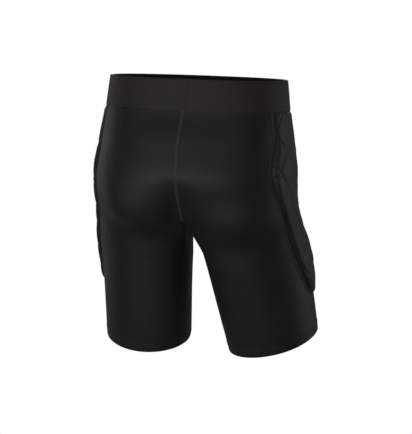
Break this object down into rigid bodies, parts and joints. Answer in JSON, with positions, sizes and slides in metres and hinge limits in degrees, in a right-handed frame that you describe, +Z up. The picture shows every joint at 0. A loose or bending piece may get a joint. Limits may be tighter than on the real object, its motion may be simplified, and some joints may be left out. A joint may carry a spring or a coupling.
{
  "type": "padded impact shorts",
  "caption": "Close-fitting stretch shorts with a wide elastic waistband and a grooved foam panel over each hip and thigh.",
  "frame": {"origin": "centre of the waist opening, level with the waistband's upper edge", "axes": "+Z up out of the waist, -Y the wearer's front, +X the wearer's left"},
  "size_m": [0.3736, 0.2935, 0.4559],
  "materials": {
    "jersey": "smooth black stretch knit with a soft sheen",
    "elastic": "fine ribbed charcoal elastic",
    "pad_cover": "smooth stretch knit heat-pressed over foam",
    "mesh": "open black mesh",
    "foam": "closed-cell foam",
    "thread": "matt overlock thread"
  },
  "bodies": {
    "pelvis": {"centre_back_seam": "thread", "centre_front_seam": "thread", "crotch_gusset": "jersey", "front_panel_left": "jersey", "front_panel_right": "jersey", "hip_foam_left": "foam", "hip_foam_right": "foam", "hip_pad_backing_left": "mesh", "hip_pad_backing_right": "mesh", "hip_pad_cover_left": "pad_cover", "hip_pad_cover_right": "pad_cover", "hip_pad_seam_left": "thread", "hip_pad_seam_right": "thread", "seat_panel_left": "jersey", "seat_panel_right": "jersey", "upper_inseam_left": "thread", "upper_inseam_right": "thread", "waistband_butt_join": "elastic", "waistband_coverstitch": "thread", "waistband_elastic": "elastic", "waistband_facing": "elastic"},
    "left_leg": {"hem_coverstitch_left": "thread", "hem_turn_up_left": "jersey", "lower_inseam_left": "thread", "thigh_foam_left": "foam", "thigh_pad_backing_left": "mesh", "thigh_pad_cover_left": "pad_cover", "thigh_pad_seam_left": "thread", "thigh_panel_left": "jersey"},
    "right_leg": {"hem_coverstitch_right": "thread", "hem_turn_up_right": "jersey", "lower_inseam_right": "thread", "thigh_foam_right": "foam", "thigh_pad_backing_right": "mesh", "thigh_pad_cover_right": "pad_cover", "thigh_pad_seam_right": "thread", "thigh_panel_right": "jersey"}
  },
  "joints": [
    {"name": "left_hip_flex", "type": "hinge", "parent": "pelvis", "child": "left_leg", "pos_m": [0.0895, 0.008, -0.19], "axis": [-1, 0, 0], "range_deg": [-20, 60], "stiffness_Nm_per_rad": 1.5},
    {"name": "right_hip_flex", "type": "hinge", "parent": "pelvis", "child": "right_leg", "pos_m": [-0.0895, 0.008, -0.19], "axis": [-1, 0, 0], "range_deg": [-20, 60], "stiffness_Nm_per_rad": 1.5}
  ]
}
